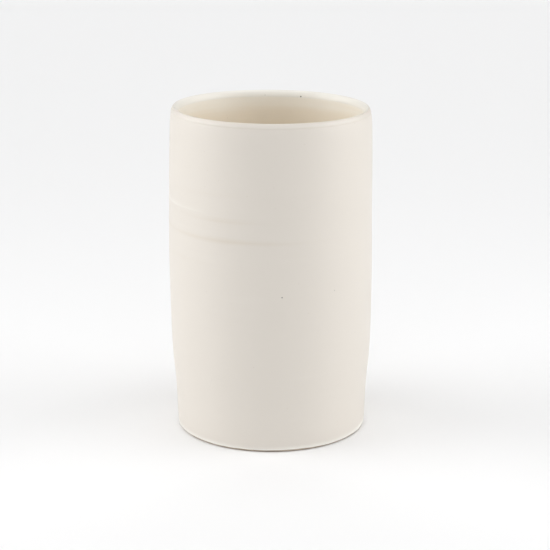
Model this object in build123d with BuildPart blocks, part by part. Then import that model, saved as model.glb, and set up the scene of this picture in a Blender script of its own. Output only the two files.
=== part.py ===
from build123d import *
from math import cos, radians, sin
import os

# A thrown stoneware cylinder vase, turned about +Z. The origin is on the table, under the middle of the vase.
# The fired clay is one solid. Each coat of glaze is a thin solid that lies on the clay and shares its surface.
# The inside was glazed first, by pouring. The outside was dipped, and its coat laps over the lip to just inside,
# where the two coats meet edge to edge. Profiles are drawn as (radius, height). All sizes are in mm.

os.makedirs("parts", exist_ok=True)

# Driving dimensions
height = 250.0           # table to the crest of the lip
belly_radius = 77.9      # widest place
belly_height = 136.0     # a little over half way up
crest_radius = 73.6      # circle that the crest of the lip runs along
glaze = 0.5              # thickness of each coat
wall = 6.5               # clay at the belly and above
floor_thickness = 9.0    # clay over the recess
floor_corner = 14.0      # radius where the inside wall turns into the floor
upright_down_to = 130.0  # below this the inside wall leans in
inner_lean = 5.4         # by this much, on its way down to the floor corner

ring_outer = 71.7        # flat of the foot ring
ring_width = 8.0
ring_round = 0.5         # sponged edges of the ring
foot_bevel = 1.4         # height of the bare bevel that undercuts the foot
recess_depth = 3.0       # turned out under the base
recess_slope = 3.0       # run of the sloping side of the recess
base_coat_radius = 60.0  # glaze under the base stops short of the ring

foot_drop = 4.9          # how far the foot bevel is inside the belly radius
swelling_stations = ((1.0, 66.0), (1.9, 52.0), (3.05, 40.0), (3.85, 28.0), (4.4, 12.0))  # (drop, height), going down
neck_stations = ((1.0, 222.0), (1.5, 236.0))  # the same, going up to the crease
ridge_heights = (147.5, 165.5, 181.5, 197.0)  # crests that the fingers left on the outside
ridge_gap = 16.0         # from the top crest to the next, which was smoothed away
ridge_relief = 0.35      # crest to hollow
first_ridge_drop = 0.1   # inside the belly radius
ridge_lean = 0.012       # how much the ridged stretch leans in, per mm of height
crease_height = 246.0    # where the bevel of the lip begins
crease_drop = 2.55       # inside the belly radius
bevel_middle = (74.35, 248.3, 28)   # on the clay: radius, height, and the way that it faces in degrees
roll_middle = (71.9, 248.6, 132)    # the same, half way down the rolled inner side of the lip
seam_height = 245.0      # where the roll meets the inside wall, and the two coats meet

# Worked out from the above: the clay is the glazed outline less one coat
clay_height = height - glaze
clay_belly = belly_radius - glaze
inner_belly = clay_belly - wall
corner_radius = inner_belly - inner_lean
floor_top = recess_depth + floor_thickness
ring_inner = ring_outer - ring_width
recess_radius = ring_inner - recess_slope

inward = (-1, 0)
outward = (1, 0)
up = (0, 1)
down = (0, -1)
into_the_crease = (-0.12, 1)
over_the_bevel = (-0.25, 1)


def proud(stations, skin):
    """Points from (drop inside the clay's belly radius, height), moved skin mm outward."""
    return [(clay_belly - drop + skin, z) for drop, z in stations]


def faced(stations, skin):
    """Points from (radius, height, the way that the clay faces in degrees), moved skin mm that way."""
    return [(r + skin * cos(radians(a)), z + skin * sin(radians(a))) for r, z, a in stations]


def swelling(skin):
    """Outside of the wall from the belly down to the foot bevel."""
    return proud([(0, belly_height), *swelling_stations, (foot_drop, foot_bevel + skin)], skin)


def ridges(skin):
    """The belly, then each crest and the hollow above it, going up."""
    next_heights = ridge_heights[1:] + (ridge_heights[-1] + ridge_gap,)
    stations = [(0, belly_height)]
    for crest, next_crest in zip(ridge_heights, next_heights):
        drop = first_ridge_drop + ridge_lean * (crest - ridge_heights[0])
        stations.append((drop, crest))
        stations.append((drop + ridge_relief, (crest + next_crest) / 2))
    return proud(stations, skin)


def neck(skin):
    """Outside of the wall from the last hollow up to the crease under the lip."""
    return [ridges(skin)[-1], *proud([*neck_stations, (crease_drop, crease_height)], skin)]


def lip_outside(skin):
    """Bevelled outer side of the lip, from the crease to the crest."""
    crease = (clay_belly - crease_drop, crease_height, 0)
    return faced([crease, bevel_middle, (crest_radius, clay_height, 90)], skin)


def lip_inside(skin):
    """Rolled inner side of the lip, from the crest down to the inside wall."""
    return faced([(crest_radius, clay_height, 90), roll_middle, (inner_belly, seam_height, 180)], skin)


def draw_swelling(skin):
    """Draw the swelling as arcs that run on from one another, inside a BuildLine block."""
    stations = swelling(skin)
    heading = down
    for start, end in zip(stations, stations[1:]):
        arc = TangentArc(start, end, tangent=heading)
        heading = arc % 1


def draw_waves(stations):
    """Join stations with two equal arcs between each pair, upright at every station, inside a BuildLine block."""
    for low, high in zip(stations, stations[1:]):
        middle = ((low[0] + high[0]) / 2, (low[1] + high[1]) / 2)
        TangentArc(low, middle, tangent=up)
        TangentArc(high, middle, tangent=down)


def draw_outside(skin):
    """Draw the outside from the foot bevel over the lip to just inside it, inside a BuildLine block."""
    draw_swelling(skin)
    draw_waves(ridges(skin))
    Spline(*neck(skin), tangents=[up, into_the_crease])
    Spline(*lip_outside(skin), tangents=[over_the_bevel, inward])
    Spline(*lip_inside(skin), tangents=[inward, down])


def draw_inside(skin):
    """Draw the inside from the seam to the middle of the floor. The clay grows thicker on its way down."""
    upright_end = (inner_belly - skin, upright_down_to)
    Line(lip_inside(skin)[-1], upright_end)
    draw_waves([(corner_radius - skin, floor_top + floor_corner), upright_end])
    corner_centre = (corner_radius - floor_corner, floor_top + floor_corner)
    CenterArc(corner_centre, floor_corner - skin, 270, 90)
    Line((corner_centre[0], floor_top + skin), (0, floor_top + skin))


with BuildPart() as clay_body:
    with BuildSketch(Plane.XZ):
        with BuildLine():
            draw_outside(0)
            draw_inside(0)
            Polyline(
                (0, floor_top),
                (0, recess_depth),
                (recess_radius, recess_depth),
                (ring_inner, 0),
                (ring_outer, 0),
                swelling(0)[-1],
            )
        make_face()
    revolve(axis=Axis.Z)
    fillet(clay_body.edges().group_by(Axis.Z)[0], radius=ring_round)

with BuildPart() as outer_glaze:
    with BuildSketch(Plane.XZ):
        with BuildLine():
            draw_outside(0)
            draw_outside(glaze)
            Line(lip_inside(0)[-1], lip_inside(glaze)[-1])
            TangentArc(swelling(0)[-1], swelling(glaze)[-1], tangent=outward)
        make_face()
    revolve(axis=Axis.Z)

with BuildPart() as inner_glaze:
    with BuildSketch(Plane.XZ):
        with BuildLine():
            draw_inside(0)
            draw_inside(glaze)
            Line(lip_inside(0)[-1], lip_inside(glaze)[-1])
            Line((0, floor_top), (0, floor_top + glaze))
        make_face()
    revolve(axis=Axis.Z)

with BuildPart() as base_glaze:
    with BuildSketch(Plane.XY.offset(recess_depth - glaze)):
        Circle(base_coat_radius)
    extrude(amount=glaze)
    fillet(base_glaze.edges().group_by(Axis.Z)[0], radius=0.8 * glaze)

clay_body.part.label = "clay_body"
outer_glaze.part.label = "outer_glaze"
inner_glaze.part.label = "inner_glaze"
base_glaze.part.label = "base_glaze"

export_step(clay_body.part, "parts/clay_body.step")
export_step(outer_glaze.part, "parts/outer_glaze.step")
export_step(inner_glaze.part, "parts/inner_glaze.step")
export_step(base_glaze.part, "parts/base_glaze.step")

for layer in (clay_body, outer_glaze, inner_glaze, base_glaze):
    print(layer.part.label, round(layer.part.volume / 1000, 1), "cm3")
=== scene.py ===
"""A hand-thrown stoneware cylinder vase in a warm white satin glaze, standing on a pale studio floor.

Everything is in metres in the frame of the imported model: +Z is up and the origin is on the floor, under the
middle of the vase. Azimuths are in degrees round +Z, from 0 at the front (-Y) to 90 at the right (+X).
"""

import logging
import math
from collections.abc import Callable, Iterable
from dataclasses import dataclass, field
from enum import Enum

import bpy
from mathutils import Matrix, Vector, noise


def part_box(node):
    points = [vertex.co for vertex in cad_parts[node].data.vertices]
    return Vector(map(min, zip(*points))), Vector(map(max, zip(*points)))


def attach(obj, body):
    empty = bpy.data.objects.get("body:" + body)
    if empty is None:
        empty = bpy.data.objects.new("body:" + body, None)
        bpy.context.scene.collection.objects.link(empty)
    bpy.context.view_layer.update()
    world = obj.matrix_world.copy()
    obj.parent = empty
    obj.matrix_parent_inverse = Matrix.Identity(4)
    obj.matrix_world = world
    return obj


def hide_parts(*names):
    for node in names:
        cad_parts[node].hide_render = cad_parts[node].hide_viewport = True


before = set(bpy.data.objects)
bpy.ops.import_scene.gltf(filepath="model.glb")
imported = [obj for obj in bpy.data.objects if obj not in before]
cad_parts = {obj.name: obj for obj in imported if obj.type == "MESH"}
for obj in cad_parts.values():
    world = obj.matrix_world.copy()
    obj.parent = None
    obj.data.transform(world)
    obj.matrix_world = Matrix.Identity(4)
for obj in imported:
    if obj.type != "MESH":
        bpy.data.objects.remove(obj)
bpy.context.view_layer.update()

MM = 0.001
ROOT = "root"
PHASE_RATE = 900  # radians per metre of height, so that no two ridges wander alike
RIDGE_REACH = 4  # a ridge is nothing beyond this many times its softness

Point = tuple[float, float]
Point3 = tuple[float, float, float]
Colour = tuple[float, float, float]

log = logging.getLogger("vase")


# ---------------------------------------------------------------------------------------------------------
# Shader bench: sockets as numbers, and one way to add a node
# ---------------------------------------------------------------------------------------------------------


class Wire:
    """An output socket that takes part in arithmetic. Each operation adds a Math node."""

    def __init__(self, bench: "Bench", socket: bpy.types.NodeSocket) -> None:
        """Hold a socket and the bench whose tree it is in."""
        self.bench = bench
        self.socket = socket

    def _math(self, operation: str, first: "Wire | float", second: "Wire | float") -> "Wire":
        """Add one Math node.

        Args:
            operation: the Math node's operation.
            first: its first value.
            second: its second value.

        Returns:
            The node's value.
        """
        return self.bench.node("ShaderNodeMath", {"operation": operation}, {0: first, 1: second})

    def __add__(self, other: "Wire | float") -> "Wire":
        """Sum."""
        return self._math("ADD", self, other)

    def __radd__(self, other: float) -> "Wire":
        """Sum, number first."""
        return self._math("ADD", other, self)

    def __sub__(self, other: "Wire | float") -> "Wire":
        """Difference."""
        return self._math("SUBTRACT", self, other)

    def __rsub__(self, other: float) -> "Wire":
        """Difference, number first."""
        return self._math("SUBTRACT", other, self)

    def __mul__(self, other: "Wire | float") -> "Wire":
        """Product."""
        return self._math("MULTIPLY", self, other)

    def at_most(self, other: "Wire | float") -> "Wire":
        """The smaller of two values."""
        return self._math("MINIMUM", self, other)

    def at_least(self, other: "Wire | float") -> "Wire":
        """The larger of two values."""
        return self._math("MAXIMUM", self, other)


class Bench:
    """The node tree of one material or world."""

    def __init__(self, tree: bpy.types.NodeTree) -> None:
        """Take over a tree and empty it."""
        self.tree = tree
        tree.nodes.clear()

    def node(
        self,
        kind: str,
        settings: dict | None = None,
        inputs: dict | None = None,
        output: int | str | None = 0,
    ) -> Wire | None:
        """Add a node.

        Args:
            kind: the node's type, such as ShaderNodeTexNoise.
            settings: its properties, set first; "stops" holds a ramp's (position, colour) pairs.
            inputs: a value or a Wire for each socket, by name or number.
            output: the socket that is handed back, or None for a node with no output.

        Returns:
            That output as a Wire, or None.
        """
        made = self.tree.nodes.new(kind)
        for name, value in (settings or {}).items():
            if name == "stops":
                self._set_stops(made.color_ramp, value)
            else:
                setattr(made, name, value)
        for key, value in (inputs or {}).items():
            if isinstance(value, Wire):
                self.tree.links.new(value.socket, made.inputs[key])
            else:
                made.inputs[key].default_value = value
        return Wire(self, made.outputs[output]) if output is not None else None

    @staticmethod
    def _set_stops(ramp: bpy.types.ColorRamp, stops: Iterable[tuple[float, Colour]]) -> None:
        """Give a ramp its stops.

        Args:
            ramp: the ramp, with the two stops that it starts with.
            stops: (position, colour) pairs, in order.
        """
        for index, (position, colour) in enumerate(stops):
            element = ramp.elements[index] if index < 2 else ramp.elements.new(position)
            element.position = position
            element.color = (*colour, 1.0)

    def place(self) -> Wire:
        """Object coordinates, in metres in the frame."""
        return self.node("ShaderNodeTexCoord", output="Object")

    def stretched(self, place: Wire, scale: Point3) -> Wire:
        """Coordinates scaled along each axis."""
        return self.node("ShaderNodeMapping", {"vector_type": "POINT"}, {"Vector": place, "Scale": scale})

    def noise(self, place: Wire, size: float, detail: float = 2.0, roughness: float = 0.5) -> Wire:
        """Soft noise from 0 to 1.

        Args:
            place: coordinates.
            size: the size of its largest features, in the coordinates' unit.
            detail: number of finer octaves.
            roughness: how strong those are.

        Returns:
            The noise value.
        """
        inputs = {"Vector": place, "Scale": 1.0 / size, "Detail": detail, "Roughness": roughness}
        return self.node("ShaderNodeTexNoise", inputs=inputs)

    def attribute(self, name: str) -> Wire:
        """A number stored on the mesh's vertices."""
        return self.node("ShaderNodeAttribute", {"attribute_name": name}, output="Fac")

    def rise(self, value: Wire, low: float, high: float) -> Wire:
        """A smooth step from 0 at low to 1 at high."""
        settings = {"interpolation_type": "SMOOTHSTEP", "clamp": True}
        return self.node("ShaderNodeMapRange", settings, {0: value, 1: low, 2: high})

    def blend(self, factor: Wire | float, first: Wire | Colour, second: Wire | Colour) -> Wire:
        """A colour between two, first at factor 0 and second at 1."""
        ends = [c if isinstance(c, Wire) else (*c, 1.0) for c in (first, second)]
        inputs = {0: factor, 6: ends[0], 7: ends[1]}
        return self.node("ShaderNodeMix", {"data_type": "RGBA"}, inputs, output=2)

    def bump(self, height: Wire, distance: float, under: Wire | None = None) -> Wire:
        """A normal that follows a height from 0 to 1.

        Args:
            height: the height.
            distance: what a height of 1 stands for, in metres.
            under: a normal to add to.

        Returns:
            The bent normal.
        """
        inputs: dict = {"Strength": 1.0, "Distance": distance, "Height": height}
        if under is not None:
            inputs["Normal"] = under
        return self.node("ShaderNodeBump", inputs=inputs)


def new_material(name: str) -> tuple[bpy.types.Material, Bench]:
    """Add a material.

    Args:
        name: the material's name.

    Returns:
        The material with an empty node tree, and the bench for it.
    """
    material = bpy.data.materials.new(name)
    material.use_nodes = True
    return material, Bench(material.node_tree)


# ---------------------------------------------------------------------------------------------------------
# Finishes
# ---------------------------------------------------------------------------------------------------------


@dataclass(frozen=True)
class Pinhole:
    """A tiny open bubble in the glaze that shows the dark clay.

    Attributes:
        place: where it is, in metres.
        radius: in metres.
        strength: how dark it is, from 0 to 1.
    """

    place: Point3
    radius: float
    strength: float


@dataclass(frozen=True)
class SatinGlaze:
    """Opaque satin glaze. Thin glaze lets the warm clay through; pooled glaze is paler and smoother.

    Attributes:
        name: the material's name.
        body: colour where the coat is of its usual thickness.
        thin: colour where it broke over an edge or a ridge; it is also the painted shade under ridges, in the
            crease under the lip and deep in the bore.
        pooled: colour where it gathered; it is also the painted highlight above ridges, on the lip's inner
            roll and under the lip inside.
        pinholes: the open bubbles.
        roughness: of the usual coat.
        speck_share: how strong the fine iron specks are.
        cloud_share: how much large soft clouds change the glaze's thickness.
        band_share: how much fine level bands do.
    """

    name: str
    body: Colour
    thin: Colour
    pooled: Colour
    pinholes: tuple[Pinhole, ...] = ()
    roughness: float = 0.44
    speck_share: float = 0.35
    cloud_share: float = 0.35
    band_share: float = 0.30
    speck_colour: Colour = (0.30, 0.20, 0.12)
    pit_colour: Colour = (0.035, 0.025, 0.018)
    pit_depth: float = 0.25 * MM
    cloud_size: float = 60 * MM
    band_height: float = 5 * MM
    band_stretch: float = 0.035
    ripple_size: float = 9 * MM
    ripple_depth: float = 0.055 * MM
    peel_size: float = 1.1 * MM
    peel_depth: float = 0.012 * MM
    trail_height: float = 1.3 * MM
    trail_depth: float = 0.03 * MM

    def make(self) -> bpy.types.Material:
        """Build the glaze's material.

        Returns:
            The material.
        """
        material, bench = new_material(self.name)
        place = bench.place()
        # The stored value is the glaze's thickness with painted shade and painted highlights added in; the
        # thin and pooled colours show both.
        pooling = bench.attribute("pooling")
        clouds = bench.noise(place, self.cloud_size, detail=3)
        bands = bench.noise(
            bench.stretched(place, (self.band_stretch, self.band_stretch, 1.0)), self.band_height, detail=3
        )
        peel = bench.noise(place, self.peel_size, detail=2)
        depth = pooling + (clouds - 0.5) * self.cloud_share + (bands - 0.5) * self.band_share
        colour = bench.blend(bench.rise(depth, 0.0, 0.5), self.thin, self.body)
        colour = bench.blend(bench.rise(depth, 0.6, 1.0), colour, self.pooled)
        specks = self._specks(bench, place)
        colour = bench.blend(specks, colour, self.speck_colour)
        pits = self._pits(bench, place)
        if pits is not None:
            colour = bench.blend(pits, colour, self.pit_colour)
        roughness = self.roughness + (0.5 - pooling) * 0.16 + (clouds - 0.5) * 0.10 + (peel - 0.5) * 0.10
        inputs = {
            "Base Color": colour,
            "Roughness": roughness,
            "Normal": self._surface(bench, place, peel, pits),
            "IOR": 1.5,
            "Specular IOR Level": 0.42,
        }
        shader = bench.node("ShaderNodeBsdfPrincipled", inputs=inputs)
        bench.node("ShaderNodeOutputMaterial", inputs={"Surface": shader}, output=None)
        return material

    def _specks(self, bench: Bench, place: Wire) -> Wire:
        """Sparse iron specks, under a third of a millimetre across.

        Args:
            bench: the material's bench.
            place: coordinates.

        Returns:
            A mask that is 0 between the specks.
        """
        cell = 8 * MM
        inputs = {"Vector": place, "Scale": 1.0 / cell, "Randomness": 1.0}
        distance = bench.node("ShaderNodeTexVoronoi", {"feature": "F1"}, inputs, output="Distance")
        return (1 - bench.rise(distance, 0.018, 0.042)) * self.speck_share

    def _pits(self, bench: Bench, place: Wire) -> Wire | None:
        """The pinholes.

        Args:
            bench: the material's bench.
            place: coordinates.

        Returns:
            A mask that is 0 between the pinholes, or None where the glaze has none.
        """
        mask = None
        for pinhole in self.pinholes:
            settings = {"operation": "DISTANCE"}
            inputs = {0: place, 1: pinhole.place}
            distance = bench.node("ShaderNodeVectorMath", settings, inputs, output="Value")
            one = (1 - bench.rise(distance, 0.45 * pinhole.radius, pinhole.radius)) * pinhole.strength
            mask = one if mask is None else mask.at_least(one)
        return mask

    def _surface(self, bench: Bench, place: Wire, peel: Wire, pits: Wire | None) -> Wire:
        """The surface as a hand feels it: soft ripples, fine throwing trails, orange peel and the pits.

        Args:
            bench: the material's bench.
            place: coordinates.
            peel: height of the orange peel.
            pits: the mask of the pinholes, if there are any.

        Returns:
            The bent normal.
        """
        ripples = bench.noise(place, self.ripple_size, detail=1)
        trails = bench.noise(bench.stretched(place, (0.02, 0.02, 1.0)), self.trail_height, detail=2)
        normal = bench.bump(ripples, self.ripple_depth)
        normal = bench.bump(trails, self.trail_depth, normal)
        normal = bench.bump(peel, self.peel_depth, normal)
        if pits is not None:
            normal = bench.bump(1 - pits, self.pit_depth, normal)
        return normal


@dataclass(frozen=True)
class BareStoneware:
    """Unglazed fired clay: buff, gritty and matte, with turning grooves under the base."""

    name: str
    buff: Colour = (0.54, 0.46, 0.38)
    toasted: Colour = (0.40, 0.32, 0.255)
    grit: Colour = (0.10, 0.07, 0.05)
    groove_pitch: float = 1.6 * MM

    def make(self) -> bpy.types.Material:
        """Build the clay's material.

        Returns:
            The material.
        """
        material, bench = new_material(self.name)
        place = bench.place()
        toast = bench.noise(place, 22 * MM, detail=4, roughness=0.6)
        grain = bench.noise(place, 0.7 * MM, detail=3, roughness=0.65)
        settings = {"wave_type": "RINGS", "rings_direction": "Z", "wave_profile": "SIN"}
        inputs = {
            "Vector": place,
            "Scale": math.pi ** 2 / (20 * self.groove_pitch),
            "Distortion": 1.2,
            "Detail": 2.0,
            "Detail Scale": 0.6,
        }
        grooves = bench.node("ShaderNodeTexWave", settings, inputs, output="Fac")
        inputs = {"Vector": place, "Scale": 1.0 / (2.2 * MM)}
        distance = bench.node("ShaderNodeTexVoronoi", {"feature": "F1"}, inputs, output="Distance")
        grit = 1 - bench.rise(distance, 0.05, 0.16)
        colour = bench.blend(bench.rise(toast, 0.35, 0.7), self.buff, self.toasted)
        colour = bench.blend(bench.rise(grain, 0.45, 0.8) * 0.35, colour, self.toasted)
        colour = bench.blend(grit * 0.75, colour, self.grit)
        normal = bench.bump(grooves, 0.05 * MM)
        normal = bench.bump(grain, 0.07 * MM, normal)
        roughness = 0.82 + (grain - 0.5) * 0.2 - grit * 0.15
        inputs = {"Base Color": colour, "Roughness": roughness, "Normal": normal, "Specular IOR Level": 0.3}
        shader = bench.node("ShaderNodeBsdfPrincipled", inputs=inputs)
        bench.node("ShaderNodeOutputMaterial", inputs={"Surface": shader}, output=None)
        return material


@dataclass(frozen=True)
class StudioPaper:
    """Matte white paper. Seen from below it is clear, and lets the foot and its light through."""

    name: str = "studio_paper"
    white: Colour = (0.925, 0.926, 0.928)

    def make(self) -> bpy.types.Material:
        """Build the paper's material.

        Returns:
            The material.
        """
        material, bench = new_material(self.name)
        paper = bench.node("ShaderNodeBsdfDiffuse", inputs={"Color": (*self.white, 1.0)})
        clear = bench.node("ShaderNodeBsdfTransparent")
        under = bench.node("ShaderNodeNewGeometry", output="Backfacing")
        gone_through = bench.node("ShaderNodeLightPath", output="Transparent Depth")
        factor = under.at_least(gone_through).at_most(1.0)
        shader = bench.node("ShaderNodeMixShader", inputs={0: factor, 1: paper, 2: clear})
        bench.node("ShaderNodeOutputMaterial", inputs={"Surface": shader}, output=None)
        return material


# ---------------------------------------------------------------------------------------------------------
# The thrown form
# ---------------------------------------------------------------------------------------------------------


@dataclass(frozen=True)
class Ridge:
    """A ridge between two passes of the fingers.

    Attributes:
        height: of its crest.
        relief: how far the crest stands out where it is strongest.
        above: how softly it falls away above the crest.
        below: how softly it falls away under the crest.
        strongest: azimuth of its strongest place, in degrees.
        second: azimuth of a weaker second place.
        wander: how far its crest climbs and falls once in a turn.
        ripple: how far it does so three times in a turn.
        least: its relief where it is weakest, as a share of the strongest.
        second_share: the relief of its second place, as such a share.
        narrowing: how closely the relief keeps to its two places.
    """

    height: float
    relief: float
    above: float
    below: float
    strongest: float
    second: float
    wander: float = 0.7 * MM
    ripple: float = 0.35 * MM
    least: float = 0.15
    second_share: float = 0.7
    narrowing: int = 4

    def stand(self, azimuth: float, height: float) -> float:
        """How far the ridge stands out at a place.

        Args:
            azimuth: in degrees.
            height: in metres.

        Returns:
            The distance, in metres.
        """
        turn = math.radians(azimuth)
        phase = self.height * PHASE_RATE
        level = self.height + self.wander * math.sin(turn + phase)
        level += self.ripple * math.sin(3 * turn + 2 * phase)
        rise = height - level
        softness = self.above if rise > 0 else self.below
        if abs(rise) > RIDGE_REACH * softness:
            return 0.0
        main = ((1 + math.cos(math.radians(azimuth - self.strongest))) / 2) ** self.narrowing
        other = ((1 + math.cos(math.radians(azimuth - self.second))) / 2) ** self.narrowing
        share = self.least + (1 - self.least) * max(main, self.second_share * other)
        return self.relief * share * math.exp(-0.5 * (rise / softness) ** 2)


OUTSIDE_RIDGES = (
    Ridge(197.0 * MM, 0.20 * MM, 5.0 * MM, 1.6 * MM, -32, 150),
    Ridge(181.3 * MM, 0.25 * MM, 1.8 * MM, 2.2 * MM, -36, 170),
    Ridge(165.5 * MM, 0.25 * MM, 1.8 * MM, 2.4 * MM, -32, 200),
    Ridge(147.3 * MM, 0.15 * MM, 1.2 * MM, 3.0 * MM, -28, 130),
    Ridge(131.0 * MM, 0.06 * MM, 3.0 * MM, 3.0 * MM, 160, 250),
    Ridge(100.0 * MM, 0.05 * MM, 1.4 * MM, 2.0 * MM, -8, 190),
    Ridge(82.6 * MM, 0.06 * MM, 1.4 * MM, 2.2 * MM, 24, 215),
    Ridge(65.0 * MM, 0.05 * MM, 1.2 * MM, 2.0 * MM, -12, 140),
    Ridge(56.0 * MM, 0.05 * MM, 1.2 * MM, 2.2 * MM, -18, 100),
)
INSIDE_RIDGES = tuple(
    Ridge((34 + 17.5 * step) * MM, (0.42 - 0.025 * step) * MM, 4.0 * MM, 3.0 * MM, 40 * step, 40 * step + 150)
    for step in range(11)
)


# Azimuth, height, whether on the outside of the wall, radius, strength
PINHOLES = (
    (6.2, 122.6 * MM, True, 0.55 * MM, 0.95),
    (37.2, 123.6 * MM, True, 0.5 * MM, 0.45),
    (128.0, 88.0 * MM, True, 0.4 * MM, 0.8),
    (212.0, 171.0 * MM, True, 0.45 * MM, 0.8),
    (251.0, 61.0 * MM, True, 0.4 * MM, 0.6),
    (160.6, 245.9 * MM, False, 0.7 * MM, 1.0),
    (184.0, 246.2 * MM, False, 0.45 * MM, 0.5),
)


def smooth_rise(value: float, low: float, high: float) -> float:
    """A smooth step from 0 at low to 1 at high."""
    share = min(1.0, max(0.0, (value - low) / (high - low)))
    return share * share * (3 - 2 * share)


def bell(distance: float, softness: float) -> float:
    """1 at distance 0, falling away softly."""
    return math.exp(-0.5 * (distance / softness) ** 2)


@dataclass(frozen=True)
class Coating:
    """What makes a coat of glaze thicker or thinner than usual, from 0 for thin to 1 for pooled, and where
    shade and highlights are painted on in the same way.

    Attributes:
        usual: thickness of the usual coat.
        ridge_offset: how far above and below a crest the painted highlight and painted shade are strongest.
        above_ridge: painted highlight above a ridge, as a gain for each millimetre of its relief.
        below_ridge: painted shade below a ridge, as a loss, likewise.
        crest_loss: loss over the crest of the lip.
        crease_loss: painted shade in the crease under the lip, as a loss.
        foot_gain: gain in the rolled edge at the foot.
        roll_gain: painted highlight on the rolled inner side of the lip, as a gain.
        corner_gain: gain where the inside wall meets the floor.
        lip_gain: painted light on the inner coat just under the lip, as a gain.
        wall_loss: painted shade that the inner coat takes on from there down the wall, as a loss.
    """

    usual: float = 0.55
    ridge_offset: float = 1.5 * MM
    above_ridge: float = 0.6
    below_ridge: float = 1.2
    crest_loss: float = 0.25
    crease_loss: float = 0.18
    foot_gain: float = 0.40
    roll_gain: float = 0.6
    corner_gain: float = 0.45
    lip_gain: float = 0.42
    wall_loss: float = 0.75


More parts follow.
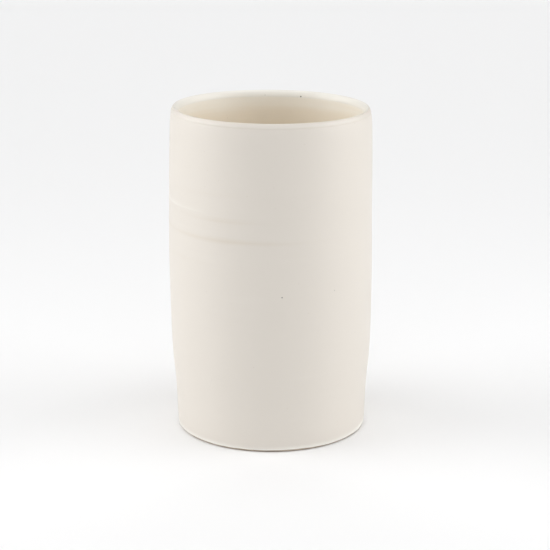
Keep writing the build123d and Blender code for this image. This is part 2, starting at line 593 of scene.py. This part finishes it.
@dataclass
class Form:
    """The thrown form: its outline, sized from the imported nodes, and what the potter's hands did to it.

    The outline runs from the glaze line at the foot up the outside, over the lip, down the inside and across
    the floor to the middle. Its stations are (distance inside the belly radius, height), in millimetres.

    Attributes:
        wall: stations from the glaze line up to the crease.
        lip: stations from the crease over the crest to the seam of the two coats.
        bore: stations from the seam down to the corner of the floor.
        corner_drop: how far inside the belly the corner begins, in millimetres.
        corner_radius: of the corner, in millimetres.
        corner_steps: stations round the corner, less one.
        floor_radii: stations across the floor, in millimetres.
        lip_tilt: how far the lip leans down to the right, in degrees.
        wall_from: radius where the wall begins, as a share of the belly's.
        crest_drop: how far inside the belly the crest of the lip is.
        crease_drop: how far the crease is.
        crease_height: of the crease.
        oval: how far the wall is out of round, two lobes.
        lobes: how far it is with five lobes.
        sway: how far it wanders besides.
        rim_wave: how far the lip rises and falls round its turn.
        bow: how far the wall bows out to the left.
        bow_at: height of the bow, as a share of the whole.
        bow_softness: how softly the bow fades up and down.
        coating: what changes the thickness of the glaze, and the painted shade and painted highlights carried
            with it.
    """

    wall: tuple[Point, ...] = (
        (4.9, 1.9), (4.7, 5.0), (4.4, 12.0), (3.88, 27.0), (3.05, 40.0), (1.95, 51.5), (1.05, 65.0),
        (0.55, 80.0), (0.25, 98.0), (0.06, 116.0), (0.0, 134.0), (0.12, 148.0), (0.35, 163.0), (0.55, 180.0),
        (0.75, 197.0), (0.95, 212.0), (1.2, 224.0), (1.5, 235.0), (1.9, 241.5), (2.3, 245.0),
    )
    lip: tuple[Point, ...] = (
        (2.52, 246.1), (2.5, 246.9), (3.05, 248.3), (3.6, 249.3), (4.3, 250.0), (5.2, 249.8), (6.15, 248.8),
        (6.9, 247.4), (7.3, 246.2), (7.5, 245.0),
    )
    bore: tuple[Point, ...] = (
        (7.5, 243.0), (7.5, 225.0), (7.5, 205.0), (7.5, 180.0), (7.5, 155.0), (7.5, 130.0), (8.12, 105.0),
        (9.5, 85.0), (11.1, 68.0), (12.3, 50.0), (12.75, 38.0),
    )
    corner_drop: float = 12.9
    corner_radius: float = 13.5
    corner_steps: int = 6
    floor_radii: tuple[float, ...] = (42.0, 28.0, 14.0, 0.0)
    lip_tilt: float = 0.5
    wall_from: float = 0.8
    crest_drop: float = 4.3 * MM
    crease_drop: float = 2.5 * MM
    crease_height: float = 246.9 * MM
    oval: float = 0.12 * MM
    lobes: float = 0.05 * MM
    sway: float = 0.10 * MM
    rim_wave: float = 0.10 * MM
    bow: float = 0.5 * MM
    bow_at: float = 0.64
    bow_softness: float = 36 * MM
    coating: Coating = Coating()
    height: float = field(init=False)
    belly: float = field(init=False)
    coat: float = field(init=False)
    glaze_line: float = field(init=False)
    seam_height: float = field(init=False)
    floor_top: float = field(init=False)

    def __post_init__(self) -> None:
        """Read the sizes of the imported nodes."""
        outer_low, outer_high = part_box("outer_glaze")
        inner_low, inner_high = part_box("inner_glaze")
        _, clay_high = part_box("clay_body")
        self.height = outer_high.z
        self.belly = outer_high.x
        self.coat = outer_high.z - clay_high.z
        self.glaze_line = outer_low.z
        self.seam_height = inner_high.z
        self.floor_top = inner_low.z + self.coat

    def path(self) -> list[Point]:
        """The whole glazed outline.

        Returns:
            Its stations as (radius, height), in metres.
        """
        stations = [(self.belly - drop * MM, z * MM) for drop, z in self.wall + self.lip + self.bore]
        arc = self.corner_radius * MM
        centre = (self.belly - self.corner_drop * MM - arc, self.floor_top + arc)
        for step in range(self.corner_steps + 1):
            turn = math.radians(90 * step / self.corner_steps)
            stations.append((centre[0] + arc * math.cos(turn), centre[1] - arc * math.sin(turn)))
        return stations + [(radius * MM, self.floor_top) for radius in self.floor_radii]

    @property
    def seam(self) -> int:
        """Number of the station where the outer and the inner coat meet."""
        return len(self.wall) + len(self.lip) - 1

    @staticmethod
    def inset(path: list[Point], depth: float) -> list[Point]:
        """The outline moved into the clay.

        Args:
            path: the outline, with the clay on its right-hand side as it runs.
            depth: how far to move it.

        Returns:
            The moved outline, station by station.
        """
        moved = []
        last = len(path) - 1
        for index, (radius, height) in enumerate(path):
            before, after = path[max(index - 1, 0)], path[min(index + 1, last)]
            along = Vector((after[0] - before[0], after[1] - before[1])).normalized()
            if index == last:
                along = Vector((-1.0, 0.0))
            moved.append((radius - along.y * depth, height + along.x * depth))
        return moved

    def hand(self, point: Vector, outside: bool) -> Vector:
        """Where the potter's hands left a point of the perfectly round form.

        Args:
            point: the point on the round form.
            outside: whether it belongs to the outside of the wall.

        Returns:
            The point's real place.
        """
        radius = math.hypot(point.x, point.y)
        if radius < 1e-6:
            return point.copy()
        turn = math.atan2(point.x, -point.y)
        azimuth = math.degrees(turn)
        ridges = OUTSIDE_RIDGES if outside else INSIDE_RIDGES
        up = smooth_rise(point.z, 0.0, self.height)
        grown = radius
        if radius > self.wall_from * self.belly:
            grown += sum(ridge.stand(azimuth, point.z) for ridge in ridges) * (1 if outside else -1)
            grown += self.oval * up * math.sin(2 * turn + 0.6) + self.lobes * up * math.sin(5 * turn + 1.0)
        around = Vector((math.sin(turn), -math.cos(turn), point.z * 12))
        grown += self.sway * up * noise.noise(around * 1.7)
        tilt = math.tan(math.radians(self.lip_tilt)) * smooth_rise(point.z, 0.75 * self.height, self.height)
        aside = self.bow * bell(point.z - self.bow_at * self.height, self.bow_softness)
        lift = -tilt * grown * math.sin(turn)
        near_rim = smooth_rise(point.z, 0.95 * self.height, self.height)
        lift += self.rim_wave * math.sin(3 * turn + 0.8) * near_rim
        if not outside and point.z < self.floor_top + 8 * MM:
            lift += self.floor_spiral(radius, turn)
        return Vector((grown * math.sin(turn) - aside, -grown * math.cos(turn), point.z + lift))

    @staticmethod
    def floor_spiral(radius: float, turn: float) -> float:
        """The button and the throwing spiral on the inside floor.

        Args:
            radius: distance from the axis, in metres.
            turn: azimuth, in radians.

        Returns:
            How far they stand up there, in metres.
        """
        pitch = 9 * MM
        fade = smooth_rise(radius, 3 * MM, 9 * MM) * (1 - smooth_rise(radius, 42 * MM, 54 * MM))
        button = 0.9 * MM * bell(radius, 6 * MM)
        return button + 0.28 * MM * fade * math.cos(math.tau * radius / pitch - turn)

    def foot_wave(self, point: Vector) -> Vector:
        """Let the lower edge of the glaze wander up and down a little.

        Args:
            point: a point of the coat.

        Returns:
            The point, moved if it is near that edge.
        """
        turn = math.atan2(point.x, -point.y)
        near = 1 - smooth_rise(point.z, self.glaze_line + 2 * MM, self.glaze_line + 7 * MM)
        wander = noise.noise(Vector((2.2 * math.sin(turn), 2.2 * math.cos(turn), 3.1)))
        wander += 0.4 * noise.noise(Vector((9 * math.sin(turn), 9 * math.cos(turn), 7.7)))
        return point + Vector((0, 0, (0.15 + 0.45 * wander) * MM * near))

    def pooling(self, point: Vector, outside: bool) -> float:
        """How thick the glaze lies, with painted shade and painted highlights added in.

        Args:
            point: a point of the round form.
            outside: whether it belongs to the outer coat.

        Returns:
            The value, from 0 for thin glaze and painted shade to 1 for pooled glaze and painted highlight.
        """
        azimuth = math.degrees(math.atan2(point.x, -point.y))
        radius = math.hypot(point.x, point.y)
        coating = self.coating
        thickness = coating.usual
        if radius > self.wall_from * self.belly:
            ridges = OUTSIDE_RIDGES if outside else INSIDE_RIDGES
            # Painted highlight above each ridge and painted shade below it, carried as glaze thickness.
            above = sum(ridge.stand(azimuth, point.z - coating.ridge_offset) for ridge in ridges)
            below = sum(ridge.stand(azimuth, point.z + coating.ridge_offset) for ridge in ridges)
            thickness += coating.above_ridge * above / MM - coating.below_ridge * below / MM
        crest_radius = self.belly - self.crest_drop
        crest = Vector((radius - crest_radius, point.z - self.height)).length
        crease = Vector((radius - self.belly + self.crease_drop, point.z - self.crease_height)).length
        thickness -= coating.crest_loss * bell(crest, 1.3 * MM)
        # Painted shade in the crease under the lip.
        thickness -= coating.crease_loss * bell(crease, 0.6 * MM)
        if outside:
            thickness += coating.foot_gain * bell(point.z - self.glaze_line, 2.2 * MM)
            # Painted highlight on the lip's inner roll.
            if point.z > self.seam_height - 1 * MM:
                thickness += coating.roll_gain * smooth_rise(crest_radius - radius, -0.6 * MM, 1.2 * MM)
        else:
            corner = bell(point.z - self.floor_top, 9 * MM) * smooth_rise(radius, 30 * MM, 60 * MM)
            thickness += coating.corner_gain * corner
            # Painted light under the lip, and painted shade that deepens down the bore.
            down = smooth_rise(self.height - point.z, 2 * MM, 38 * MM)
            thickness += coating.lip_gain - coating.wall_loss * down
        return min(1.0, max(0.0, thickness))


# ---------------------------------------------------------------------------------------------------------
# The wheel: outlines spun into closed meshes
# ---------------------------------------------------------------------------------------------------------


@dataclass
class Stroke:
    """One smooth stretch of an outline.

    Attributes:
        points: (radius, height) stations.
        divisions: edges between two stations.
        straight: whether the stretch runs straight from station to station.
    """

    points: list[Point]
    divisions: int
    straight: bool = False


class Wheel:
    """Spins closed outlines about +Z."""

    def __init__(self, steps: int = 224) -> None:
        """Set how many steps make one turn."""
        self.steps = steps

    def turn(self, name: str, strokes: list[Stroke]) -> bpy.types.Object:
        """Draw an outline as curves and spin it.

        Args:
            name: the piece's name.
            strokes: stretches that follow one another, end to start.

        Returns:
            The closed mesh object, at the origin.
        """
        bpy.ops.object.select_all(action="DESELECT")
        bpy.ops.curve.primitive_bezier_curve_add(location=(0, 0, 0))
        drawn = bpy.context.object
        drawn.data.splines.clear()
        for stroke in strokes:
            self._draw(drawn.data, stroke)
        bpy.ops.object.convert(target="MESH")
        piece = bpy.context.object
        piece.name = piece.data.name = name
        bpy.ops.object.mode_set(mode="EDIT")
        bpy.ops.mesh.select_all(action="SELECT")
        bpy.ops.mesh.remove_doubles(threshold=1e-6)
        bpy.ops.mesh.spin(steps=self.steps, angle=math.tau, center=(0, 0, 0), axis=(0, 0, 1))
        bpy.ops.mesh.select_all(action="SELECT")
        bpy.ops.mesh.remove_doubles(threshold=1e-6)
        bpy.ops.mesh.normals_make_consistent(inside=False)
        bpy.ops.object.mode_set(mode="OBJECT")
        return piece

    @staticmethod
    def _draw(curve: bpy.types.Curve, stroke: Stroke) -> None:
        """Add one stroke to a curve, in the plane through +X and +Z.

        Args:
            curve: the curve.
            stroke: the stroke.
        """
        spline = curve.splines.new("BEZIER")
        spline.bezier_points.add(len(stroke.points) - 1)
        spline.resolution_u = stroke.divisions
        handles = "VECTOR" if stroke.straight else "AUTO"
        for knot, (radius, height) in zip(spline.bezier_points, stroke.points):
            knot.co = (radius, 0.0, height)
            knot.handle_left_type = knot.handle_right_type = handles


def select_edges(piece: bpy.types.Object, wanted: Callable[[Vector, Vector], bool]) -> None:
    """Select edges of a piece, in edit mode, and nothing else.

    Args:
        piece: the piece.
        wanted: the test that an edge's two ends have to pass.
    """
    bpy.ops.mesh.select_all(action="DESELECT")
    bpy.ops.mesh.select_mode(type="EDGE")
    bpy.ops.object.mode_set(mode="OBJECT")
    corners = piece.data.vertices
    for edge in piece.data.edges:
        edge.select = wanted(corners[edge.vertices[0]].co, corners[edge.vertices[1]].co)
    bpy.ops.object.mode_set(mode="EDIT")


def shade(piece: bpy.types.Object, degrees: float) -> None:
    """Shade a piece smooth, and keep its sharp edges.

    Args:
        piece: the piece.
        degrees: an edge sharper than this stays sharp.
    """
    bpy.ops.object.select_all(action="DESELECT")
    bpy.context.view_layer.objects.active = piece
    piece.select_set(True)
    bpy.ops.object.shade_smooth_by_angle(angle=math.radians(degrees))


def reshape(piece: bpy.types.Object, move: Callable[[Vector], Vector]) -> None:
    """Move every vertex of a piece.

    Args:
        piece: the piece.
        move: gives a vertex's new place from its old one.
    """
    for vertex in piece.data.vertices:
        vertex.co = move(vertex.co)
    piece.data.update()


def store(piece: bpy.types.Object, name: str, values: list[float]) -> None:
    """Store a number on every vertex, for the piece's material."""
    attribute = piece.data.attributes.new(name, "FLOAT", "POINT")
    attribute.data.foreach_set("value", values)


# ---------------------------------------------------------------------------------------------------------
# The vase
# ---------------------------------------------------------------------------------------------------------


class Layer(Enum):
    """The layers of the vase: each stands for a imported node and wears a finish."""

    CLAY = ("thrown_clay", "clay_body", "clay")
    OUTER = ("outer_coat", "outer_glaze", "outer_glaze")
    INNER = ("inner_coat", "inner_glaze", "inner_glaze")
    BASE = ("base_coat", "base_glaze", "base_glaze")

    @property
    def piece(self) -> str:
        """The piece's name."""
        return self.value[0]

    @property
    def node(self) -> str:
        """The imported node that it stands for."""
        return self.value[1]

    @property
    def slot(self) -> str:
        """The record's material slot."""
        return self.value[2]


@dataclass
class Vase:
    """The vase: fired clay and its three coats of glaze.

    Attributes:
        form: the thrown form.
        wheel: what spins the outlines.
        seen: edges between two stations on the face of a coat.
        hidden: edges between two stations under a coat.
        ring_outer: outer radius of the flat of the foot ring.
        ring_inner: inner radius of it.
        recess_slope: run of the sloping side of the recess.
        ring_round: how far the edges of the ring are sponged away.
    """

    form: Form
    wheel: Wheel
    seen: int = 8
    hidden: int = 2
    ring_outer: float = 71.7 * MM
    ring_inner: float = 63.7 * MM
    recess_slope: float = 3.0 * MM
    ring_round: float = 0.9 * MM

    def build(self) -> list[tuple[Layer, bpy.types.Object]]:
        """Build every layer.

        Returns:
            Each layer with its piece.
        """
        return [
            (Layer.CLAY, self.clay()),
            (Layer.OUTER, self.outer_coat()),
            (Layer.INNER, self.inner_coat()),
            (Layer.BASE, self.base_coat()),
        ]

    def clay(self) -> bpy.types.Object:
        """The clay: hidden under glaze but for the foot ring and the rim of the recess.

        Returns:
            The closed piece.
        """
        form = self.form
        skin = form.inset(form.path(), form.coat)
        skin[0] = (skin[0][0], form.glaze_line)
        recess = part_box("base_glaze")[1].z
        start = (self.ring_outer, 0.0)
        under = [(0.0, recess), (0.03, recess), (self.ring_inner - self.recess_slope, recess)]
        under += [(self.ring_inner, 0.0), start]
        strokes = [
            Stroke(skin, self.hidden),
            Stroke([skin[-1], (0.0, recess)], 1, straight=True),
            Stroke(under, 6, straight=True),
            Stroke([start, skin[0]], 3, straight=True),
        ]
        piece = self.wheel.turn(Layer.CLAY.piece, strokes)
        self._round_ring(piece)
        middle = form.belly - 6.3 * MM

        def by_hand(point: Vector) -> Vector:
            """Shape the lip and the wall by hand, and leave the base as it was turned."""
            radius = math.hypot(point.x, point.y)
            under_base = point.z < form.floor_top - 2 * MM and radius < middle
            if point.z < form.glaze_line + 0.1 * MM or under_base:
                return point.copy()
            return form.hand(point, radius > middle)

        reshape(piece, by_hand)
        shade(piece, 40)
        return piece

    def _round_ring(self, piece: bpy.types.Object) -> None:
        """Sponge the edges of the foot ring round.

        Args:
            piece: the clay.
        """

        def on_edge(first: Vector, second: Vector) -> bool:
            """Whether an edge runs round the flat of the ring."""
            radii = (math.hypot(first.x, first.y), math.hypot(second.x, second.y))
            near = min(abs(radii[0] - self.ring_outer), abs(radii[0] - self.ring_inner))
            return max(first.z, second.z) < 1e-6 and abs(radii[0] - radii[1]) < 1e-6 and near < 1e-5

        bpy.ops.object.mode_set(mode="EDIT")
        select_edges(piece, on_edge)
        bpy.ops.mesh.bevel(offset=self.ring_round, segments=4, profile=0.5)
        bpy.ops.object.mode_set(mode="OBJECT")

    def _coat(self, name: str, front: list[Point], back: list[Point], ends: list[Stroke]) -> bpy.types.Object:
        """Turn a coat of glaze from its front, its back on the clay, and the strokes that close it."""
        strokes = [Stroke(front, self.seen), Stroke(back, self.hidden)] + ends
        return self.wheel.turn(name, strokes)

    def outer_coat(self) -> bpy.types.Object:
        """The glaze over the outside and the lip, with a rolled edge at the foot.

        Returns:
            The closed piece, with its glaze thickness and its painted light and shade stored.
        """
        form = self.form
        path = form.path()
        back = form.inset(path, form.coat)
        front, back = path[: form.seam + 1], back[: form.seam + 1]
        foot_back = (back[0][0], form.glaze_line)
        foot = front[0]
        back[0] = foot_back
        bulge = (foot_back[0] + 0.72 * form.coat, form.glaze_line + 0.16 * form.coat)
        ends = [
            Stroke([foot_back, bulge, foot], 4),
            Stroke([front[-1], back[-1]], 1, straight=True),
        ]
        piece = self._coat(Layer.OUTER.piece, front, back, ends)
        store(piece, "pooling", [form.pooling(v.co, True) for v in piece.data.vertices])
        reshape(piece, lambda point: form.foot_wave(form.hand(point, True)))
        shade(piece, 50)
        return piece

    def inner_coat(self) -> bpy.types.Object:
        """The glaze poured inside, from under the lip to the middle of the floor.

        Returns:
            The closed piece, with its glaze thickness and its painted light and shade stored.
        """
        form = self.form
        path = form.path()
        back = form.inset(path, form.coat)
        front, back = path[form.seam :], back[form.seam :]
        ends = [
            Stroke([front[0], back[0]], 1, straight=True),
            Stroke([front[-1], back[-1]], 1, straight=True),
        ]
        piece = self._coat(Layer.INNER.piece, front, back, ends)
        store(piece, "pooling", [form.pooling(v.co, False) for v in piece.data.vertices])
        reshape(piece, lambda point: form.hand(point, False))
        shade(piece, 50)
        return piece

    def base_coat(self) -> bpy.types.Object:
        """The thin patch of glaze in the recess, with a wandering edge.

        Returns:
            The closed piece, with its pooling stored.
        """
        low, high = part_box("base_glaze")
        reach, coat = high.x, high.z - low.z
        rim = [(reach - 2 * coat, low.z), (reach - 0.4 * coat, low.z + 0.35 * coat), (reach, high.z)]
        strokes = [
            Stroke([(0.0, low.z), (reach / 2, low.z), rim[0]], 16, straight=True),
            Stroke(rim, 4),
            Stroke([rim[-1], (0.0, high.z)], 4, straight=True),
            Stroke([(0.0, high.z), (0.0, low.z)], 1, straight=True),
        ]
        piece = self.wheel.turn(Layer.BASE.piece, strokes)

        def wander(point: Vector) -> Vector:
            """Move the edge in and out."""
            radius = math.hypot(point.x, point.y)
            if radius < 1e-6:
                return point.copy()
            way = Vector((point.x / radius, point.y / radius, 0.0))
            near = smooth_rise(radius, 0.8 * reach, reach)
            swing = noise.noise(way * 2.5) * 1.2 - 0.9 + noise.noise(way * 11) * 0.4
            return point + way * (swing * MM * near)

        store(piece, "pooling", [0.45 + 0.3 * smooth_rise(v.co.xy.length, 0.9 * reach, reach)
                                 for v in piece.data.vertices])
        reshape(piece, wander)
        shade(piece, 50)
        return piece

    def on_surface(self, azimuth: float, height: float, outside: bool = True) -> Point3:
        """A place on the glazed wall, hand marks included.

        Args:
            azimuth: in degrees.
            height: in metres.
            outside: whether the place is on the outside of the wall.

        Returns:
            The place, in metres.
        """
        path = self.form.path()
        stretch = path[: len(self.form.wall)] if outside else path[len(self.form.wall) + 4 :]
        for (r0, z0), (r1, z1) in zip(stretch, stretch[1:]):
            if min(z0, z1) <= height <= max(z0, z1) and z0 != z1:
                radius = r0 + (r1 - r0) * (height - z0) / (z1 - z0)
                break
        turn = math.radians(azimuth)
        point = Vector((radius * math.sin(turn), -radius * math.cos(turn), height))
        return tuple(self.form.hand(point, outside))

    def dress(self, layers: list[tuple[Layer, bpy.types.Object]]) -> None:
        """Give each layer its finish and its body, and hide the imported node that it stands for.

        Args:
            layers: each layer with its piece.
        """
        pinholes = tuple(
            Pinhole(self.on_surface(azimuth, height, outside), radius, strength)
            for azimuth, height, outside, radius, strength in PINHOLES
        )
        white = SatinGlaze(
            "outer_satin_glaze",
            body=(0.75, 0.703, 0.64),
            thin=(0.69, 0.622, 0.525),
            pooled=(0.88, 0.86, 0.80),
            pinholes=pinholes,
        )
        # The inner glaze is a warmer cream, and it is also set paler than the outer glaze: that extra
        # paleness is painted light for the dim bore.
        cream = SatinGlaze(
            "inner_satin_glaze",
            body=(0.905, 0.828, 0.70),
            thin=(0.84, 0.705, 0.51),
            pooled=(0.955, 0.92, 0.835),
        )
        thin = SatinGlaze(
            "base_satin_glaze",
            body=(0.78, 0.74, 0.66),
            thin=(0.70, 0.62, 0.51),
            pooled=(0.81, 0.78, 0.71),
        )
        finishes = {
            Layer.CLAY: BareStoneware("bare_stoneware"),
            Layer.OUTER: white,
            Layer.INNER: cream,
            Layer.BASE: thin,
        }
        for layer, piece in layers:
            piece.data.materials.clear()
            piece.data.materials.append(finishes[layer].make())
            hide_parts(layer.node)
            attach(piece, ROOT)
            log.info("%s: %d faces, stands for %s", piece.name, len(piece.data.polygons), layer.node)


# ---------------------------------------------------------------------------------------------------------
# The studio
# ---------------------------------------------------------------------------------------------------------


@dataclass(frozen=True)
class SoftBox:
    """A very large soft lamp, so far away that it lights the whole paper evenly.

    Attributes:
        name: the lamp's name.
        azimuth: where it stands, in degrees.
        elevation: how high, in degrees.
        breadth: how wide it is seen from the vase, in degrees.
        strength: of its light.
        colour: of its light.
    """

    name: str
    azimuth: float
    elevation: float
    breadth: float
    strength: float
    colour: Colour = (1.0, 1.0, 1.0)

    def place(self) -> None:
        """Point the lamp at the vase."""
        turn, rise = math.radians(self.azimuth), math.radians(self.elevation)
        away = Vector((math.sin(turn) * math.cos(rise), -math.cos(turn) * math.cos(rise), math.sin(rise)))
        bpy.ops.object.light_add(type="SUN", location=away, rotation=away.to_track_quat("Z", "Y").to_euler())
        lamp = bpy.context.object
        lamp.name = lamp.data.name = self.name
        lamp.data.energy = self.strength
        lamp.data.angle = math.radians(self.breadth)
        lamp.data.color = self.colour


@dataclass(frozen=True)
class NearBox:
    """A square softbox beside the vase, which lights its upper part and the paper round it the most.

    Attributes:
        name: the lamp's name.
        middle: of the box, in metres.
        size: of its side, in metres.
        power: in watts.
        aim: height of the place on the vase's axis that it points at.
    """

    name: str
    middle: Point3
    size: float
    power: float
    aim: float = 0.16

    def place(self) -> None:
        """Point the box at the upper part of the vase."""
        away = Vector(self.middle) - Vector((0, 0, self.aim))
        rotation = away.to_track_quat("Z", "Y").to_euler()
        bpy.ops.object.light_add(type="AREA", location=self.middle, rotation=rotation)
        lamp = bpy.context.object
        lamp.name = lamp.data.name = self.name
        lamp.data.energy = self.power
        lamp.data.size = self.size


@dataclass
class Studio:
    """The white paper, the soft lamps, the surroundings and the camera.

    Attributes:
        height: of the vase, which the camera's place is measured in.
        paper_reach: radius of the paper, in metres.
        room: light of the room.
        backdrop: how the room looks to the camera.
        light_under: dim light that comes up through the paper, so that the foot can be looked at from below.
        lamps: the soft lamps.
        camera_distance: how far in front of the vase, in heights of it.
        camera_height: how far above the floor, likewise.
        camera_side: how far to the right, likewise.
        camera_pitch: how far the camera looks down, in degrees.
        lens: focal length, in millimetres.
    """

    height: float
    paper_reach: float = 12.0
    room: Colour = (0.03, 0.03, 0.03)
    backdrop: Colour = (0.925, 0.925, 0.925)
    light_under: Colour = (0.3, 0.3, 0.3)
    lamps: tuple[SoftBox | NearBox, ...] = (
        SoftBox("left_softbox", -90, 13, 62, 2.12),
        SoftBox("right_softbox", 88, 11, 62, 1.95),
        NearBox("left_near_softbox", (-0.62, -0.05, 0.54), 0.4, 0.46),
        NearBox("right_near_softbox", (0.62, -0.05, 0.54), 0.4, 0.42),
        SoftBox("front_softbox", 5, 45, 90, 0.93),
        SoftBox("top_softbox", 0, 84, 60, 0.84),
        SoftBox("back_softbox", 180, 45, 60, 0.6),
    )
    camera_distance: float = 5.043
    camera_height: float = 1.895
    camera_side: float = 0.012
    camera_pitch: float = 15.761
    lens: float = 110.9

    def set_up(self) -> None:
        """Lay the paper, light it and stand the camera."""
        self._lay_paper()
        for lamp in self.lamps:
            lamp.place()
            log.info("%s placed", lamp.name)
        self._light_room()
        self._stand_camera()
        bpy.context.scene.view_settings.view_transform = "Standard"

    def _lay_paper(self) -> None:
        """A wide sheet of paper under the vase."""
        bpy.ops.object.select_all(action="DESELECT")
        bpy.ops.mesh.primitive_circle_add(vertices=96, radius=self.paper_reach, fill_type="NGON")
        paper = bpy.context.object
        paper.name = "paper_floor"
        paper.data.materials.append(StudioPaper().make())

    def _light_room(self) -> None:
        """An even room light; seen directly, the room is as pale as the paper."""
        world = bpy.data.worlds.new("studio_room")
        bpy.context.scene.world = world
        world.use_nodes = True
        bench = Bench(world.node_tree)
        seen = bench.node("ShaderNodeLightPath", output="Is Camera Ray")
        from_below = bench.node("ShaderNodeLightPath", output="Transparent Depth").at_most(1.0)
        colour = bench.blend(seen, bench.blend(from_below, self.room, self.light_under), self.backdrop)
        light = bench.node("ShaderNodeBackground", inputs={"Color": colour, "Strength": 1.0})
        bench.node("ShaderNodeOutputWorld", inputs={"Surface": light}, output=None)

    def _stand_camera(self) -> None:
        """The camera in front, a little above the rim and looking slightly down."""
        place = Vector((self.camera_side, -self.camera_distance, self.camera_height)) * self.height
        facing = (math.radians(90 - self.camera_pitch), 0.0, 0.0)
        bpy.ops.object.camera_add(location=place, rotation=facing)
        camera = bpy.context.object
        camera.name = "studio_camera"
        camera.data.lens = self.lens
        bpy.context.scene.camera = camera


def note_sizes() -> None:
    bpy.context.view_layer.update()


def main() -> None:
    """Build the vase and the studio."""
    logging.basicConfig(level=logging.INFO, format="%(name)s: %(message)s")
    form = Form()
    vase = Vase(form, Wheel())
    vase.dress(vase.build())
    Studio(height=form.height).set_up()
    note_sizes()


if __name__ == "__main__":
    main()
